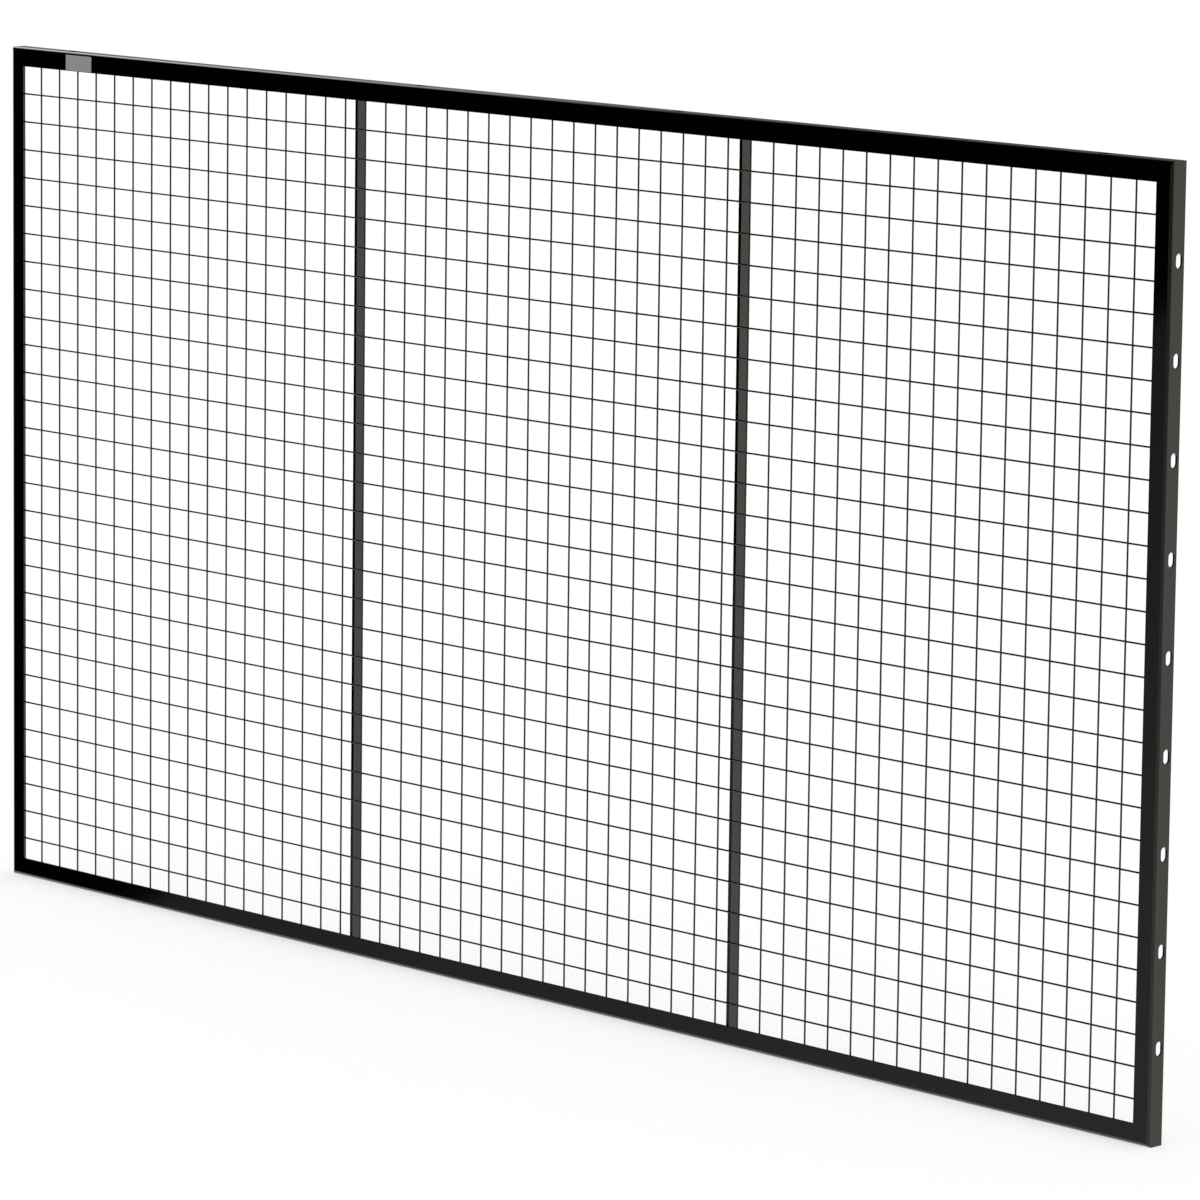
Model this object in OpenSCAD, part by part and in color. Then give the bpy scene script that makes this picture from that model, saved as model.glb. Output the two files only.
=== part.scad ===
// Machine guard fence panel: a mitred frame of formed steel angle with a welded wire
// sheet behind its front flanges and two flat bars on edge behind the sheet.
// Row frame: x = 0 is the outer face of the left stile, y = 0 is the centre line of the
// slots, z = 0 is the bottom of the panel. The front faces -y.

/* [Panel] */
// overall width
panel_w = 2746.4; // [1828.8:0.1:3657.6]
// overall height
panel_h = 1525.6; // [1219.2:0.1:1828.8]

/* [Frame angle] */
// width of the flange on the front
flange_w = 33.4; // [28:0.1:40]
// depth of the flange that turns back
side_depth = 29.9; // [28:0.1:40]
// thickness of the sheet steel
thick = 3.175; // [2.5:0.125:4]
// outer radius of the bend
bend_r = 6.35; // [4.5:0.05:7]

/* [Slots in the side flanges] */
// from the panel's bottom to the centre of a stile's first slot
slot_first = 154.2; // [60:0.1:160]
// distance between slot centres in a stile
slot_pitch = 152.4; // [100:0.1:152.4]
// from the ends of a rail and from the stiffener bars inwards to the slots in the rail
rail_slot_in = 152.4; // [80:0.1:200]
// width of a slot
slot_w = 13.5; // [10:0.1:15]
// length of a slot from end to end
slot_len = 23; // [20:0.1:30]
// from the front of the frame back to the slots' centre line
slot_back = 17.9; // [16:0.1:20]

/* [Wire sheet] */
// diameter of a wire
wire_d = 3.05; // [2:0.05:3.5]
// distance between wires, both ways
mesh_pitch = 50.8; // [50.8:25.4:76.2]
// how far a level wire is pressed into an upright one at a weld
weld_sink = 0.4; // [0.2:0.05:0.6]
// from the panel's left side to the ends of the level wires
sheet_left = 15.8; // [8:0.1:16]
// from the other ends of the level wires to the panel's right side
sheet_right = 12.8; // [8:0.1:16]
// from the panel's bottom to the lower ends of the upright wires
sheet_low = 6.6; // [6.6:0.1:12]
// from the upper ends of the upright wires to the panel's top
sheet_top = 20.4; // [8:0.1:22]
// length of a wire past its last weld
wire_end = 12.7; // [6:0.1:15]

/* [Stiffener bars] */
// thickness of a bar
bar_t = 6.35; // [3:0.05:8]
// depth of a bar from front to back
bar_depth = 19.05; // [12:0.05:20]

/* [Label plate] */
// width of the plate
label_w = 70; // [40:0.5:120]
// height of the plate
label_h = 27.8; // [12:0.1:28]
// thickness of the plate
label_t = 0.8; // [0.5:0.1:1.5]
// radius of the plate's corners
label_r = 1; // [0.5:0.1:3]
// from the left side of the panel to the plate
label_left = 153.8; // [60:0.1:400]
// from the panel's top down to the plate
label_drop = 4.8; // [4:0.1:10]

/* [Hidden] */
$fn = 64;
// sides of a mesh wire, one of them flat to the front
wire_sides = 8;
// distance from the centre of a wire to its corners
wire_r = wire_d / 2 / cos(180 / wire_sides);
// centre planes of the upright and the level wires, measured back from the frame's front
upright_y = thick + wire_d / 2;
level_y = upright_y + wire_d - weld_sink;
// front edge of the stiffener bars, against the level wires
bar_y = level_y + wire_d / 2;
// first wires, and how many fit
first_x = sheet_left + wire_end;
first_z = sheet_low + wire_end;
sheet_end_x = panel_w - sheet_right;
sheet_end_z = panel_h - sheet_top;
columns = floor((sheet_end_x - wire_d - first_x) / mesh_pitch) + 1;
rows = floor((sheet_end_z - wire_d - first_z) / mesh_pitch) + 1;
// the sheet is drawn in three bays of two halves
bays = 3;
halves = 2;
// as many slots as fit between the rails' front flanges
slot_count = floor((panel_h - flange_w - slot_len / 2 - slot_first) / slot_pitch) + 1;
// places of the slots along a rail
rail_slots = [
    rail_slot_in,
    panel_w / bays + rail_slot_in,
    panel_w * (bays - 1) / bays - rail_slot_in,
    panel_w - rail_slot_in
];
// overlap of a cutting tool past the face it cuts
past = 1;

function column_x(i) = first_x + i * mesh_pitch;
function row_z(j) = first_z + j * mesh_pitch;
function bay_start(b) = round(b * columns / bays);
function half_start(h) = round(h * rows / halves);

// moves a piece from the frame's front to the slots' centre line
module in_row() {
    translate([0, -slot_back, 0])
        children();
}

// the angle in section: x along the front flange, y along the side flange
module angle_section() {
    translate([bend_r, 0])
        square([flange_w - bend_r, thick]);
    translate([0, bend_r])
        square([thick, side_depth - bend_r]);
    intersection() {
        translate([bend_r, bend_r])
            difference() {
                circle(r = bend_r);
                circle(r = bend_r - thick);
            }
        square([bend_r, bend_r]);
    }
}

// an upright length of angle with its corner on the z axis, cut at 45 degrees at both ends
module mitred_angle(length) {
    intersection() {
        linear_extrude(height = length)
            angle_section();
        translate([0, side_depth, 0])
            rotate([90, 0, 0])
                linear_extrude(height = side_depth)
                    polygon([
                        [0, 0],
                        [flange_w, flange_w],
                        [flange_w, length - flange_w],
                        [0, length]
                    ]);
    }
}

// a slot through the side flange of an angle, its centre at the given distance along it
module slot(along) {
    reach = (slot_len - slot_w) / 2;
    translate([-past, slot_back, along]) {
        for (s = [-1, 1])
            translate([0, 0, s * reach])
                rotate([0, 90, 0])
                    cylinder(d = slot_w, h = thick + 2 * past);
        translate([0, -slot_w / 2, -reach])
            cube([thick + 2 * past, slot_w, 2 * reach]);
    }
}

module stile() {
    difference() {
        mitred_angle(panel_h);
        for (k = [0 : slot_count - 1])
            slot(slot_first + k * slot_pitch);
    }
}

module left_stile() {
    color("#1c1c1c") in_row()
        stile();
}

module right_stile() {
    color("#1c1c1c") in_row()
        translate([panel_w, 0, 0])
            mirror([1, 0, 0])
                stile();
}

// a rail is the same angle laid along the width, its corner at the bottom
module rail() {
    translate([panel_w, 0, 0])
        rotate([0, -90, 0])
            difference() {
                mitred_angle(panel_w);
                for (x = rail_slots)
                    slot(x);
            }
}

module bottom_rail() {
    color("#1c1c1c") in_row()
        rail();
}

module top_rail() {
    color("#1c1c1c") in_row()
        translate([0, 0, panel_h])
            mirror([0, 0, 1])
                rail();
}

module upright_wire(x, z_low, z_high) {
    translate([x, upright_y, z_low])
        rotate([0, 0, 180 / wire_sides])
            cylinder(r = wire_r, h = z_high - z_low, $fn = wire_sides);
}

module level_wire(z, x_low, x_high) {
    translate([x_low, level_y, z])
        rotate([0, 90, 0])
            rotate([0, 0, 180 / wire_sides])
                cylinder(r = wire_r, h = x_high - x_low, $fn = wire_sides);
}

// one bay and half of the sheet, cut midway between wires
module mesh(bay, half) {
    x_low = bay == 0 ? sheet_left : column_x(bay_start(bay) - 0.5);
    x_high = bay == bays - 1 ? sheet_end_x : column_x(bay_start(bay + 1) - 0.5);
    z_low = half == 0 ? sheet_low : row_z(half_start(half) - 0.5);
    z_high = half == halves - 1 ? sheet_end_z : row_z(half_start(half + 1) - 0.5);
    color("#2a2a2a") in_row()
        union() {
            for (i = [bay_start(bay) : bay_start(bay + 1) - 1])
                upright_wire(column_x(i), z_low, z_high);
            for (j = [half_start(half) : half_start(half + 1) - 1])
                level_wire(row_z(j), x_low, x_high);
        }
}

module mesh_left_lower() {
    mesh(0, 0);
}

module mesh_left_upper() {
    mesh(0, 1);
}

module mesh_middle_lower() {
    mesh(1, 0);
}

module mesh_middle_upper() {
    mesh(1, 1);
}

module mesh_right_lower() {
    mesh(2, 0);
}

module mesh_right_upper() {
    mesh(2, 1);
}

// a flat bar on edge behind the sheet, its ends on the side flanges of the rails
module stiffener(share) {
    color("#1c1c1c") in_row()
        translate([panel_w * share - bar_t / 2, bar_y, thick])
            cube([bar_t, bar_depth, panel_h - 2 * thick]);
}

module left_stiffener() {
    stiffener(1 / bays);
}

module right_stiffener() {
    stiffener(2 / bays);
}

// nameplate on the flat of the top rail's front flange
module label_plate() {
    color("#8f8f8f") in_row()
        translate([label_left, 0, panel_h - label_drop - label_h])
            rotate([90, 0, 0])
                linear_extrude(height = label_t) {
                    translate([label_r, 0])
                        square([label_w - 2 * label_r, label_h]);
                    translate([0, label_r])
                        square([label_w, label_h - 2 * label_r]);
                    for (x = [label_r, label_w - label_r], z = [label_r, label_h - label_r])
                        translate([x, z])
                            circle(r = label_r);
                }
}

top_rail();
bottom_rail();
left_stile();
right_stile();
left_stiffener();
right_stiffener();
mesh_left_lower();
mesh_left_upper();
mesh_middle_lower();
mesh_middle_upper();
mesh_right_lower();
mesh_right_upper();
label_plate();
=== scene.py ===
# %% [markdown]
# # Machine guard fence panel
# This panel keeps people out of a machine's working space. It is a rectangle of formed steel
# angle, mitred and welded at its corners, with a welded wire sheet behind the front flanges and
# two flat bars on edge behind the sheet. The side flanges carry slots for bolts to the posts.
# The exact solids come packed as a fixed frame, and this script gives them their looks.

# %% Load the panel
import math
import random

import bmesh
import bpy
from mathutils import Matrix, Vector


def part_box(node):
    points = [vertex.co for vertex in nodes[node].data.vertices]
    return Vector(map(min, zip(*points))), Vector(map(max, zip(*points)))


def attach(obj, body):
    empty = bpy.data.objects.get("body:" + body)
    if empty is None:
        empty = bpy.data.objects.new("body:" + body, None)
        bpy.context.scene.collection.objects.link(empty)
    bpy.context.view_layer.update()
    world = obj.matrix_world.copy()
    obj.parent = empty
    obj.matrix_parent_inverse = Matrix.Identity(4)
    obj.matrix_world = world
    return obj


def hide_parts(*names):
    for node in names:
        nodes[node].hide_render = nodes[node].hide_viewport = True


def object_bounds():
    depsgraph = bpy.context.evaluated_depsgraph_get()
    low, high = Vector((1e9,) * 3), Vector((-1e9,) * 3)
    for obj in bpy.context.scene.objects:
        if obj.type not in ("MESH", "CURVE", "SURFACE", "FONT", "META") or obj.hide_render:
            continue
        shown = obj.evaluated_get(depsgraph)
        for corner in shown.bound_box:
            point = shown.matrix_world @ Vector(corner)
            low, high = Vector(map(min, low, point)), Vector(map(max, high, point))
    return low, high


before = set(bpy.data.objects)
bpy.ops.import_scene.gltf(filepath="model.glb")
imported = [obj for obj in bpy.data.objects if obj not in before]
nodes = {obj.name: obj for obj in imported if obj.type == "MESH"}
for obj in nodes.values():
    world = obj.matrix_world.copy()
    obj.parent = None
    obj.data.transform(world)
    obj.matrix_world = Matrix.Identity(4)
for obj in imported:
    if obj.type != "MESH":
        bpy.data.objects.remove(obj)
cad_low, cad_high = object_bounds()
print("panel, mm:", [round(1000 * side) for side in cad_high - cad_low])
print("pieces:", sorted(nodes))

# %% [markdown]
# Sizes are written in millimetres, the way a shop drawing has them, and turned to metres in one
# place. A colour is written as the hex value that a screen shows, but the renderer adds up light,
# so each channel is turned to linear light once, here.

# %% Units and colours
MM = 0.001


def linear(hex_colour):
    """An sRGB hex colour as linear red, green, blue and alpha."""
    channels = [int(hex_colour[i:i + 2], 16) / 255 for i in (1, 3, 5)]
    return [c / 12.92 if c <= 0.04045 else ((c + 0.055) / 1.055) ** 2.4 for c in channels] + [1.0]


print("mid grey in linear light:", round(linear("#808080")[0], 3))

# %% [markdown]
# A material is a small graph of nodes. One helper adds a node of any kind, sets what is given by
# name, and links what is given as another node's output, so a material reads as a list of steps.
# A few nodes have inputs that share a name. Those are given by their number, after an underscore.

# %% A helper for nodes


def add(tree, kind, settings=None, **inputs):
    """Adds a node: settings are its properties, inputs are values or other nodes' outputs."""
    node = tree.nodes.new(kind)
    for name, value in (settings or {}).items():
        setattr(node, name, value)
    for name, value in inputs.items():
        socket = node.inputs[int(name[1:]) if name[0] == "_" else name.replace("_", " ")]
        if isinstance(value, bpy.types.NodeSocket):
            tree.links.new(value, socket)
        else:
            socket.default_value = value
    return node


def new_material(name):
    """An empty material with its output node."""
    material = bpy.data.materials.new(name)
    material.use_nodes = True
    material.node_tree.nodes.clear()
    return material, add(material.node_tree, "ShaderNodeOutputMaterial")


# %% [markdown]
# The steel is powder coated: a dry plastic powder is sprayed on, clings by static charge, and
# melts to one skin in an oven. A black gloss powder reflects like any plastic, with an IOR of 1.5,
# so its colour is almost nothing and its look is what it mirrors: it needs a low roughness and a
# studio worth mirroring. Up close it has orange peel, a soft rolling of the skin with waves of
# 2 to 3 mm, and single grains of powder that did not quite melt in. Both are noise in a bump,
# because they are a thousandth of a millimetre high or less, far too shallow to model. The skin is
# also a little glossier where it lies thick, in patches as wide as a hand. The wires are sprayed
# from all sides at once and come out a little duller than the flat steel.

# %% Black gloss powder coat
PEEL_WAVE = 2.6 * MM
PEEL_HEIGHT = 0.0012 * MM
GRAIN_WAVE = 0.35 * MM
GRAIN_HEIGHT = 0.0001 * MM
PATCH_WAVE = 180 * MM
# how far the roughness strays from its mean between thick and thin patches
PATCH_SPREAD = 0.01
POWDER_BLACK = "#020202"
FRAME_ROUGHNESS = 0.035
WIRE_ROUGHNESS = 0.08


def powder_coat(name, colour, roughness):
    """Gloss polyester powder, baked on steel."""
    material, output = new_material(name)
    tree = material.node_tree
    place = add(tree, "ShaderNodeTexCoord").outputs["Object"]
    peel = add(tree, "ShaderNodeTexNoise", Vector=place, Scale=1 / PEEL_WAVE, Detail=1.0)
    grain = add(tree, "ShaderNodeTexNoise", Vector=place, Scale=1 / GRAIN_WAVE, Detail=2.0)
    patch = add(tree, "ShaderNodeTexNoise", Vector=place, Scale=1 / PATCH_WAVE, Detail=3.0)
    # noise hardly leaves the range from 0.3 to 0.7
    shine = add(tree, "ShaderNodeMapRange", Value=patch.outputs["Fac"], From_Min=0.3, From_Max=0.7,
                To_Min=roughness - PATCH_SPREAD, To_Max=roughness + PATCH_SPREAD)
    rolling = add(tree, "ShaderNodeBump", Height=peel.outputs["Fac"], Distance=PEEL_HEIGHT)
    grainy = add(tree, "ShaderNodeBump", Height=grain.outputs["Fac"], Distance=GRAIN_HEIGHT,
                 Normal=rolling.outputs["Normal"])
    coat = add(tree, "ShaderNodeBsdfPrincipled", Base_Color=linear(colour), IOR=1.5,
               Roughness=shine.outputs["Result"], Normal=grainy.outputs["Normal"])
    tree.links.new(coat.outputs["BSDF"], output.inputs["Surface"])
    return material


frame_coat = powder_coat("gloss_black_powder_coat", POWDER_BLACK, FRAME_ROUGHNESS)
wire_coat = powder_coat("gloss_black_powder_coat_on_wire", POWDER_BLACK, WIRE_ROUGHNESS)
print("coats:", frame_coat.name, wire_coat.name)

# %% [markdown]
# The nameplate is a small sheet of aluminium. Such plates are brushed along their length and then
# anodised: the oxide skin hides most of the metal's mirror and leaves an even grey with a grain.
# The grain is noise, stretched along the plate until its dots are scratches. It changes the grey,
# the roughness and a very shallow bump together, as real scratches do. The plate is left bare.

# %% Brushed and anodised nameplate
BRUSH_LENGTH = 12 * MM
BRUSH_WIDTH = 0.25 * MM
BRUSH_DEPTH = 0.004 * MM
DARK_SCRATCH = "#848482"
LIGHT_SCRATCH = "#b6b6b5"
# what the oxide skin leaves of the metal's own reflection
BARE_METAL = 0.25

plate_finish, plate_output = new_material("anodised_aluminium")
tree = plate_finish.node_tree
place = add(tree, "ShaderNodeTexCoord").outputs["Object"]
stretch = add(tree, "ShaderNodeMapping", {"vector_type": "POINT"}, Vector=place,
              Scale=(1 / BRUSH_LENGTH, 1 / BRUSH_WIDTH, 1 / BRUSH_WIDTH))
brush = add(tree, "ShaderNodeTexNoise", Vector=stretch.outputs["Vector"], Scale=1.0, Detail=3.0)
# a mix of colours has its colours at inputs 6 and 7, and its result at output 2
grey = add(tree, "ShaderNodeMix", {"data_type": "RGBA"}, Factor=brush.outputs["Fac"],
           _6=linear(DARK_SCRATCH), _7=linear(LIGHT_SCRATCH))
dull = add(tree, "ShaderNodeMapRange", Value=brush.outputs["Fac"], To_Min=0.5, To_Max=0.62)
scratched = add(tree, "ShaderNodeBump", Height=brush.outputs["Fac"], Distance=BRUSH_DEPTH)
plate_skin = add(tree, "ShaderNodeBsdfPrincipled", Base_Color=grey.outputs[2],
                 Metallic=BARE_METAL, Roughness=dull.outputs["Result"],
                 Normal=scratched.outputs["Normal"])
tree.links.new(plate_skin.outputs["BSDF"], plate_output.inputs["Surface"])
print("nameplate:", plate_finish.name, "with scratches", round(1000 * BRUSH_WIDTH, 2), "mm wide")

# %% [markdown]
# The angles and the bars are right as they come: their bends, mitres and slots are in the solids.
# They could be drawn again with softer edges, but sheet steel cut on a laser is crisp, and the
# coat adds less than a tenth of a millimetre. So they keep their shape and only get their finish,
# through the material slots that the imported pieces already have.

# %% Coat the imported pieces


def coat_node(name, material):
    """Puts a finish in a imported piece's material slots."""
    node = nodes[name]
    if not node.material_slots:
        node.data.materials.append(material)
    for slot in node.material_slots:
        slot.material = material


for name in ("top_rail", "bottom_rail", "left_stile", "right_stile",
             "left_stiffener", "right_stiffener"):
    coat_node(name, frame_coat)
coat_node("label_plate", plate_finish)
print("coated:", [name for name in sorted(nodes) if not name.startswith("mesh_")])

# %% [markdown]
# The sheet is 11 gauge wire in 2 inch squares. The upright wires lie in front and the level ones
# behind, and a welding machine pressed each crossing together by a part of a millimetre. The box
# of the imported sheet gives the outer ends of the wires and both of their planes, and the squares
# give the rest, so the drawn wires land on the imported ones.

# %% Sheet sizes
MESH_NODES = sorted(name for name in nodes if name.startswith("mesh_"))
MESH_PITCH = 50.8 * MM
WIRE_END = 12.7 * MM
WIRE_D = 3.05 * MM

corners = [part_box(name) for name in MESH_NODES]
sheet_low = Vector(min(c[0][k] for c in corners) for k in range(3))
sheet_high = Vector(max(c[1][k] for c in corners) for k in range(3))
wire_r = WIRE_D / 2
upright_y = sheet_low.y + wire_r
level_y = sheet_high.y - wire_r


def places(low, high):
    """Wire centres from one side of the sheet to the other."""
    first, last = low + WIRE_END, high - WIRE_END
    count = round((last - first) / MESH_PITCH) + 1
    return [first + k * MESH_PITCH for k in range(count)]


columns = places(sheet_low.x, sheet_high.x)
rows = places(sheet_low.z, sheet_high.z)
print(len(columns), "upright wires and", len(rows), "level wires")

# %% [markdown]
# The solids keep the wires eight-sided, which would show as flats on the gloss. A round wire could
# be a curve with a bevel, but a mesh shows in the file just what it is. It is a tube: rings of
# points along a line, joined by faces. The welds further on are tubes too, so the ring and the
# skin over a row of rings are helpers. The burr that the shear leaves at a wire's end becomes a
# small chamfer.

# %% Tubes
END_CHAMFER = 0.3 * MM
WIRE_SIDES = 14


def ring(mesh, centre, across, other, radius, sides):
    """Points on a circle about the centre, in the plane of two directions."""
    turns = [2 * math.pi * k / sides for k in range(sides)]
    return [mesh.verts.new(centre + radius * (math.cos(a) * across + math.sin(a) * other))
            for a in turns]


def skin(mesh, rings):
    """Joins a row of rings into a closed tube."""
    for one, two in zip(rings, rings[1:]):
        for k in range(len(one)):
            n = (k + 1) % len(one)
            mesh.faces.new((one[k], one[n], two[n], two[k]))
    mesh.faces.new(rings[0][::-1])
    mesh.faces.new(rings[-1])


def line_frame(start, end):
    """The direction of a line and two directions square to it."""
    axis = (end - start).normalized()
    across = axis.orthogonal().normalized()
    return axis, across, axis.cross(across)


def wire(mesh, start, end):
    """A straight round wire with chamfered ends."""
    axis, across, other = line_frame(start, end)
    inward = axis * END_CHAMFER
    stops = ((start, wire_r - END_CHAMFER), (start + inward, wire_r),
             (end - inward, wire_r), (end, wire_r - END_CHAMFER))
    skin(mesh, [ring(mesh, stop, across, other, r, WIRE_SIDES) for stop, r in stops])


print("a wire's flats are", round(1000 * WIRE_D * math.pi / WIRE_SIDES, 2), "mm wide")

# %% [markdown]
# Every new piece ends the same way: normals face out, faces are shaded smooth except across sharp
# edges, and the piece is told which body it rides on and which of the part's materials it has. A
# rigid panel has one body, the root. An edge is sharp from 35 degrees on a wire, which keeps the
# chamfers crisp, and only from 80 on a weld, where everything has run and frozen.

# %% Finish a piece
WIRE_SHARP = 35
WELD_SHARP = 80


def finish_mesh(mesh, name, material, sharp_angle):
    """Turns a bmesh into a piece of the panel, smooth but for its sharp edges."""
    bmesh.ops.recalc_face_normals(mesh, faces=mesh.faces)
    limit = math.radians(sharp_angle)
    for face in mesh.faces:
        face.smooth = True
    for edge in mesh.edges:
        edge.smooth = len(edge.link_faces) == 2 and edge.calc_face_angle() < limit
    data = bpy.data.meshes.new(name)
    mesh.to_mesh(data)
    mesh.free()
    piece = bpy.data.objects.new(name, data)
    bpy.context.scene.collection.objects.link(piece)
    piece.data.materials.append(material)
    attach(piece, "root")
    triangles = sum(len(p.vertices) - 2 for p in data.polygons)
    print(name, "-", triangles, "triangles")
    return piece


print("edges are sharp from", WIRE_SHARP, "degrees on wires and", WELD_SHARP, "on welds")

# %% [markdown]
# With the helpers, the sheet is two loops: all the upright wires, then all the level ones. It is
# one piece, as the real sheet is, and it stands for the six parts of the sheet in the solids.

# %% Draw the wire sheet
wires = bmesh.new()
for x in columns:
    wire(wires, Vector((x, upright_y, sheet_low.z)), Vector((x, upright_y, sheet_high.z)))
for z in rows:
    wire(wires, Vector((sheet_low.x, level_y, z)), Vector((sheet_high.x, level_y, z)))
wire_sheet = finish_mesh(wires, "wire_sheet", wire_coat, WIRE_SHARP)
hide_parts(*MESH_NODES)

# %% [markdown]
# At each crossing the welding current melted the two wires together. Some metal was squeezed out
# and froze as a small collar between them, and the powder rounds it further. A collar is a short
# fat tube that lies level, from one wire's middle towards the other's. With 1,620 of them, ten
# sides each is as fine as is sensible. No two welds are alike, so each has its own size.

# %% Weld collars at the crossings
COLLAR_R = 1.75 * MM
COLLAR_HALF = 0.9 * MM
COLLAR_SIDES = 10
# the smallest and the largest collar, as shares of the mean
COLLAR_SPREAD = (0.92, 1.08)
# how far back a ring stands, as a share of COLLAR_HALF, and how wide it is, as a share of COLLAR_R
COLLAR_PROFILE = ((-1.0, 0.72), (-0.4, 0.97), (0.4, 0.97), (1.0, 0.72))

LEVEL = Vector((1, 0, 0))
UP = Vector((0, 0, 1))
# every weld draws its chances from this one generator, so each run gives the same panel
chance = random.Random(7)
contact_y = (upright_y + level_y) / 2
collars = bmesh.new()
for x in columns:
    for z in rows:
        size = COLLAR_R * chance.uniform(*COLLAR_SPREAD)
        skin(collars, [ring(collars, Vector((x, contact_y + step * COLLAR_HALF, z)), LEVEL, UP,
                            size * share, COLLAR_SIDES) for step, share in COLLAR_PROFILE])
finish_mesh(collars, "weld_collars", wire_coat, WELD_SHARP)

# %% [markdown]
# The sheet and the bars are held by short arc welds, laid by hand on the hidden side. A bead is a
# row of frozen pools, so its surface is scalloped, and it tapers off at both ends. It could be a
# row of flattened spheres, but a tube of rings whose radius follows the pools is one clean skin.
# All of the welds are under the same powder as the steel.

# %% Weld beads
POOL_STEP = 1.3 * MM
RINGS_PER_POOL = 3
FEWEST_RINGS = 8
BEAD_SIDES = 8
# shares of the radius: how deep the dips between pools are, and what is left at the very ends
DIP = 0.12
TIP = 0.12
# the higher this even number, the blunter the ends
BLUNTNESS = 6


def bead(mesh, start, end, radius):
    """A scalloped weld bead from start to end."""
    _, across, other = line_frame(start, end)
    pools = (end - start).length / POOL_STEP
    steps = max(FEWEST_RINGS, round(pools) * RINGS_PER_POOL)
    rings = []
    for s in range(steps + 1):
        t = s / steps
        taper = math.sqrt(max(0.0, 1 - (2 * t - 1) ** BLUNTNESS))
        scallop = 1 - DIP + DIP * abs(math.sin(math.pi * t * pools))
        rings.append(ring(mesh, start.lerp(end, t), across, other,
                          radius * max(TIP, taper) * scallop, BEAD_SIDES))
    skin(mesh, rings)


print("a frozen pool of weld metal is", round(1000 * POOL_STEP, 1), "mm long")

# %% [markdown]
# The sheet is tacked to the backs of the front flanges, beside every other upright wire at the
# rails and between the level wires at the stiles. Each tack lies in the groove between the round
# wire and the flat steel, so its middle sits a little off both.

# %% Tacks that hold the sheet to the frame
THICK = 3.175 * MM
LABEL_THICK = 0.8 * MM
TACK_R = 1.1 * MM
# the middle of a tack, out from the wire's side and back from the flange
GROOVE_OUT = 0.3 * MM
GROOVE_BACK = 0.35 * MM
# tacks along the ends of the uprights: from the wire's end, and how long, in mm
RAIL_TACK_IN = (1.0, 2.0)
RAIL_TACK_LENGTH = (7.5, 9.5)
# tacks along the stiles: how far off the middle of a square, and half their length, in mm
STILE_TACK_OFF = (-4, 4)
STILE_TACK_HALF = (5, 7)

flange_back = cad_low.y + LABEL_THICK + THICK
groove = wire_r + GROOVE_OUT
tack_y = flange_back + GROOVE_BACK
tacks = bmesh.new()
for x in columns[1:-1:2]:
    side = chance.choice((-1, 1)) * groove
    for z, up in ((sheet_low.z, 1), (sheet_high.z, -1)):
        first = z + up * chance.uniform(*RAIL_TACK_IN) * MM
        last = first + up * chance.uniform(*RAIL_TACK_LENGTH) * MM
        bead(tacks, Vector((x + side, tack_y, first)), Vector((x + side, tack_y, last)), TACK_R)
for x, side in ((columns[0], -groove), (columns[-1], groove)):
    for z in rows[1:-1:2]:
        middle = z + MESH_PITCH / 2 + chance.uniform(*STILE_TACK_OFF) * MM
        half = chance.uniform(*STILE_TACK_HALF) * MM
        bead(tacks, Vector((x + side, tack_y, middle - half)),
             Vector((x + side, tack_y, middle + half)), TACK_R)
finish_mesh(tacks, "sheet_tack_welds", frame_coat, WELD_SHARP)

# %% [markdown]
# The bars stand on the rails' side flanges and are welded along both sides of their ends. Every
# third level wire is also tacked to the bars, with a short bead that runs out along the wire. In
# the corners of the frame a bead closes the joint between the two side flanges, on the inside;
# outside, the welders ground the corners flush before the coat.

# %% Welds of the bars and of the corners
BAR_BEAD_R = 1.7 * MM
BAR_BEAD_OUT = 0.4 * MM
BAR_BEAD_SHORT = 2 * MM
# a wire tack starts inside the bar, just behind its front edge, and runs out along the wire
WIRE_TACK_R = 1.25 * MM
WIRE_TACK_IN = 1.6 * MM
WIRE_TACK_BACK = 0.5 * MM
WIRE_TACK_FRONT = 0.6 * MM
# how far out it runs, in mm
WIRE_TACK_OUT = (4.5, 6)
CORNER_R = 1.9 * MM
CORNER_OUT = 0.5 * MM
CORNER_FRONT = 1 * MM
CORNER_SHORT = 1.5 * MM

welds = bmesh.new()
for name in ("left_stiffener", "right_stiffener"):
    bar_low, bar_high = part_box(name)
    for x, out in ((bar_low.x, -1), (bar_high.x, 1)):
        for z, up in ((bar_low.z, 1), (bar_high.z, -1)):
            line = Vector((x + out * BAR_BEAD_OUT, 0, z + up * BAR_BEAD_OUT))
            bead(welds, line + Vector((0, bar_low.y + BAR_BEAD_SHORT, 0)),
                 line + Vector((0, bar_high.y - BAR_BEAD_SHORT, 0)), BAR_BEAD_R)
        for z in rows[1::3]:
            start = Vector((x - out * WIRE_TACK_IN, bar_low.y + WIRE_TACK_BACK, z))
            end_x = x + out * chance.uniform(*WIRE_TACK_OUT) * MM
            bead(welds, start, Vector((end_x, bar_low.y - WIRE_TACK_FRONT, z)), WIRE_TACK_R)
frame_low, frame_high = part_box("bottom_rail")[0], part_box("top_rail")[1]
for x, out in ((frame_low.x + THICK, 1), (frame_high.x - THICK, -1)):
    for z, up in ((frame_low.z + THICK, 1), (frame_high.z - THICK, -1)):
        line = Vector((x + out * CORNER_OUT, 0, z + up * CORNER_OUT))
        bead(welds, line + Vector((0, flange_back + CORNER_FRONT, 0)),
             line + Vector((0, frame_high.y - CORNER_SHORT, 0)), CORNER_R)
finish_mesh(welds, "frame_welds", frame_coat, WELD_SHARP)

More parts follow.
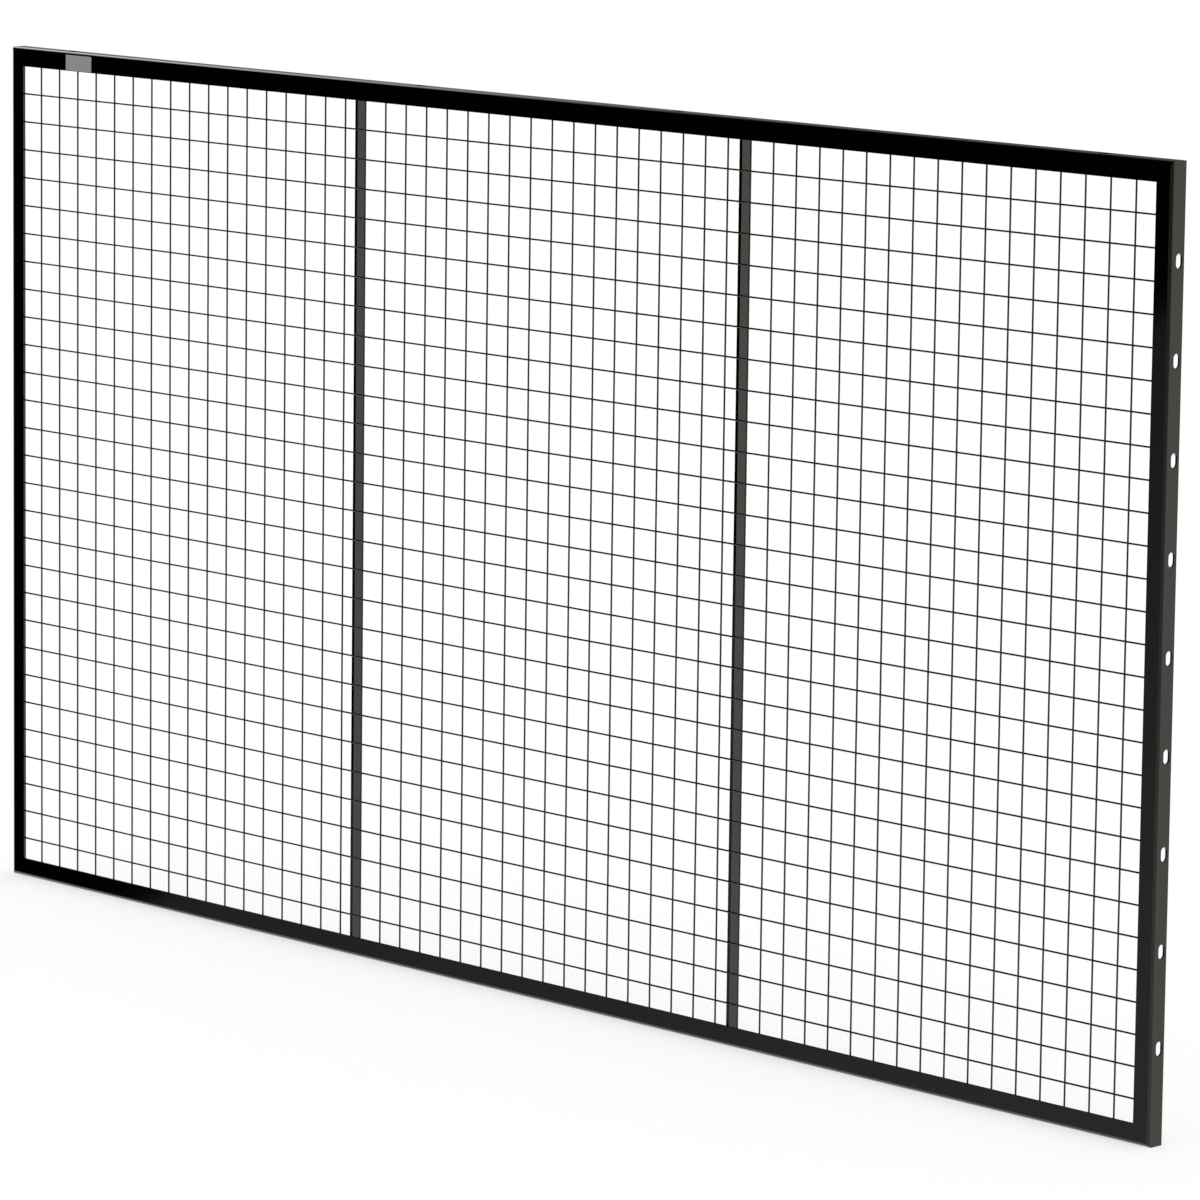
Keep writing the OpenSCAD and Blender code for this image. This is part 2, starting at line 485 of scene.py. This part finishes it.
# %% [markdown]
# The camera stands far off to the right, a little above the panel's top, with a long lens: from
# there the squares of the mesh stay even from end to end. A Track To constraint could aim it, but
# a tracking quaternion does it in one line and leaves nothing behind. It keeps the horizon level,
# and a small roll is added. The frame is moved with the lens's shift and not with a tilt, as on a
# view camera, so the uprights keep their slight lean and no more.

# %% Camera
CAMERA_PLACE = Vector((8.9192, -7.3421, 2.4190))
CAMERA_AIM = Vector((1.5225, -0.0132, 0.8906))
CAMERA_ROLL = math.radians(0.707)

camera_data = bpy.data.cameras.new("camera")
camera_data.sensor_width = 36
camera_data.lens = 190.62
camera_data.shift_y = -0.09375
camera_data.clip_end = 200
camera = bpy.data.objects.new("camera", camera_data)
bpy.context.scene.collection.objects.link(camera)
look = (CAMERA_AIM - CAMERA_PLACE).to_track_quat("-Z", "Y").to_matrix().to_4x4()
camera.matrix_world = Matrix.Translation(CAMERA_PLACE) @ look @ Matrix.Rotation(CAMERA_ROLL, 4, "Z")
bpy.context.scene.camera = camera
print("camera is", round((CAMERA_AIM - CAMERA_PLACE).length, 2), "m from its aim")

# %% [markdown]
# A gloss black coat is a dark mirror, so its studio is made for what it mirrors. Area lamps and
# real cards would do, but each would also throw a shadow and change the plain light. Here the
# world does both jobs: every surface gets the same even light of strength 1, and only the rays
# that the gloss sends out meet soft cards. A card is a range of directions with soft edges, a
# product of ramps along the axes: +X goes past the right stile, +Y behind the panel, and +Z up. A
# direction is a point on a ball of radius 1, so along each axis it has a place from -1 to 1.

# %% Empty studio
bpy.context.scene.view_settings.view_transform = "Standard"
world = bpy.data.worlds.new("studio")
bpy.context.scene.world = world
world.use_nodes = True
sky = world.node_tree
sky.nodes.clear()
heading = add(sky, "ShaderNodeTexCoord").outputs["Generated"]
right, back, high = add(sky, "ShaderNodeSeparateXYZ", Vector=heading).outputs


def ramp(value, low, high, to_low=0.0, to_high=1.0):
    """A soft step from one level to another, between two places along an axis."""
    return add(sky, "ShaderNodeMapRange", {"interpolation_type": "SMOOTHSTEP"}, Value=value,
               From_Min=low, From_Max=high, To_Min=to_low, To_Max=to_high).outputs["Result"]


def combine(operation, first, *others):
    """Levels multiplied together, or the brightest of them."""
    for other in others:
        first = add(sky, "ShaderNodeMath", {"operation": operation},
                    _0=first, _1=other).outputs["Value"]
    return first


def card(*ramps):
    """A soft card: lit only where all of its ramps are."""
    return combine("MULTIPLY", *ramps)


print("the empty studio has", len(sky.nodes), "nodes")

# %% [markdown]
# To the right stands a wide white wall. The right stile's slotted side and the flat sides of the
# bars mirror it, and its soft near end wraps round the stile's bend. It ends a little above eye
# level, so that the top faces don't turn white when they are seen from the far end. On the left
# is a card for the other stile, and behind the panel is a dim one for the flanges' backs.

# %% Walls
wall = card(ramp(right, 0.35, 0.74, 0.0, 1.29), ramp(right, 0.74, 0.97, 1.0, 1.12),
            ramp(back, -0.80, -0.12), ramp(high, 0.20, 0.05))
left_wall = card(ramp(right, -0.84, -0.93, 0.0, 1.2), ramp(high, 0.12, -0.02))
rear_wall = card(ramp(back, 0.50, 0.80, 0.0, 0.7), ramp(right, -0.50, -0.30),
                 ramp(right, 0.50, 0.30))
print("with walls:", len(sky.nodes), "nodes")

# %% [markdown]
# The fronts of the flanges mirror what lies before the panel, low down and to the left: a dimly
# lit floor, and beyond it a black drape. The drape's lower edge is a straight line, and all the
# directions to a straight line lie in one plane, so a dot product with that plane's upward side
# tells floor from drape. Low parts of the frame mirror the floor and are grey, and high parts
# mirror the drape and are black. The floor close by, behind and right under the panel is brighter.

# %% Floor as the gloss sees it
DRAPE_EDGE = (-0.464, 0.263, 0.846)
drape = add(sky, "ShaderNodeVectorMath", {"operation": "DOT_PRODUCT"},
            _0=heading, _1=DRAPE_EDGE).outputs["Value"]
near_floor = card(ramp(right, -0.50, -0.20), ramp(high, 0.0, -0.30), ramp(back, 0.30, 0.0))
far_floor = card(ramp(drape, 0.001, -0.003), ramp(drape, 0.03, -0.14, 0.23, 0.46),
                 ramp(back, 0.10, -0.30), ramp(high, -0.12, -0.22, 0.8, 1.0),
                 ramp(right, -0.25, -0.50, 0.65, 1.0))
rear_floor = card(ramp(high, -0.16, -0.32, 0.0, 0.45), ramp(back, 0.20, 0.50),
                  ramp(right, -0.55, -0.30))
under = ramp(high, -0.26, -0.50, 0.0, 1.3)
print("with floors:", len(sky.nodes), "nodes")

# %% [markdown]
# The last cards are higher up. A dim low one and a bright high one, behind and to the left, light
# the top rail's upper face and the thin line along its bend. A soft box lights what faces up in
# other views, and a dim ceiling is there for a look from above.

# %% Cards above
low_card = card(ramp(right, -0.66, -0.74, 0.12, 0.25), ramp(back, 0.20, 0.50))
high_card = card(ramp(right, -0.685, -0.775, 0.0, 3.0), ramp(right, -0.90, -0.82),
                 ramp(high, 0.13, 0.40), ramp(back, -0.15, 0.10))
soft_box = card(ramp(high, 0.12, 0.40, 0.0, 0.6), ramp(right, -0.50, -0.20))
ceiling = ramp(high, 0.75, 0.95, 0.0, 0.8)
print("with cards above:", len(sky.nodes), "nodes")

# %% [markdown]
# Where two cards overlap, the brighter one shows. Only mirrored rays see them, which Light Path's
# Is Glossy Ray tells, and everything else gets the plain level of 1. The wall on the right is a
# warm white, which is what turns the sides of the bars a little brown.

# %% Switch the studio on
NEUTRAL = (1, 1, 1, 1)
# a light's colour is linear already, and may pass 1
WARM_WHITE = (1.03, 1.0, 0.88, 1)
mirrored = add(sky, "ShaderNodeLightPath").outputs["Is Glossy Ray"]
cards = combine("MAXIMUM", wall, near_floor, far_floor, under, low_card, high_card, ceiling,
                rear_floor, soft_box, left_wall, rear_wall)
level = add(sky, "ShaderNodeMix", {"data_type": "FLOAT"}, Factor=mirrored,
            A=1.0, B=cards).outputs[0]
warmth = combine("MULTIPLY", mirrored, ramp(right, 0.3, 0.6))
hue = add(sky, "ShaderNodeMix", {"data_type": "RGBA"}, Factor=warmth,
          _6=NEUTRAL, _7=WARM_WHITE).outputs[2]
background = add(sky, "ShaderNodeBackground", Color=hue, Strength=level)
sky.links.new(background.outputs["Background"],
              add(sky, "ShaderNodeOutputWorld").inputs["Surface"])
# light sampling treats the world as one lamp and skips the glossy switch, so it is turned off
world.cycles.sampling_method = "NONE"
print("the whole studio has", len(sky.nodes), "nodes")

# %% [markdown]
# The panel stands on a white floor that takes its soft shadow. White paint under a plain light is
# still a light grey, and more light would wash out the coat, so part of the floor's white is a
# glow that only the camera sees. Half paint and half glow also keeps the shadow as soft as it is
# in a big bright room. The gloss doesn't see this floor: it has its own, in the world.

# %% White floor
FLOOR_HALF = 30.0
FLOOR_PAINT = "#b8b8b8"
FLOOR_GLOW = 0.54

floor_mesh = bmesh.new()
bmesh.ops.create_grid(floor_mesh, x_segments=2, y_segments=2, size=FLOOR_HALF)
floor_data = bpy.data.meshes.new("floor")
floor_mesh.to_mesh(floor_data)
floor_mesh.free()
floor = bpy.data.objects.new("floor", floor_data)
floor.location = ((cad_low.x + cad_high.x) / 2, 0, cad_low.z)
bpy.context.scene.collection.objects.link(floor)
floor.visible_glossy = False

floor_finish, floor_output = new_material("white_studio_floor")
tree = floor_finish.node_tree
paint = add(tree, "ShaderNodeBsdfDiffuse", Color=linear(FLOOR_PAINT))
seen = add(tree, "ShaderNodeLightPath").outputs["Is Camera Ray"]
glow_level = add(tree, "ShaderNodeMapRange", Value=seen, To_Min=0.0, To_Max=FLOOR_GLOW)
glow = add(tree, "ShaderNodeEmission", Strength=glow_level.outputs["Result"])
both = add(tree, "ShaderNodeAddShader", _0=paint.outputs["BSDF"], _1=glow.outputs["Emission"])
tree.links.new(both.outputs["Shader"], floor_output.inputs["Surface"])
floor.data.materials.append(floor_finish)
print("the open floor shows as", round(linear(FLOOR_PAINT)[0] + FLOOR_GLOW, 2), "of white")
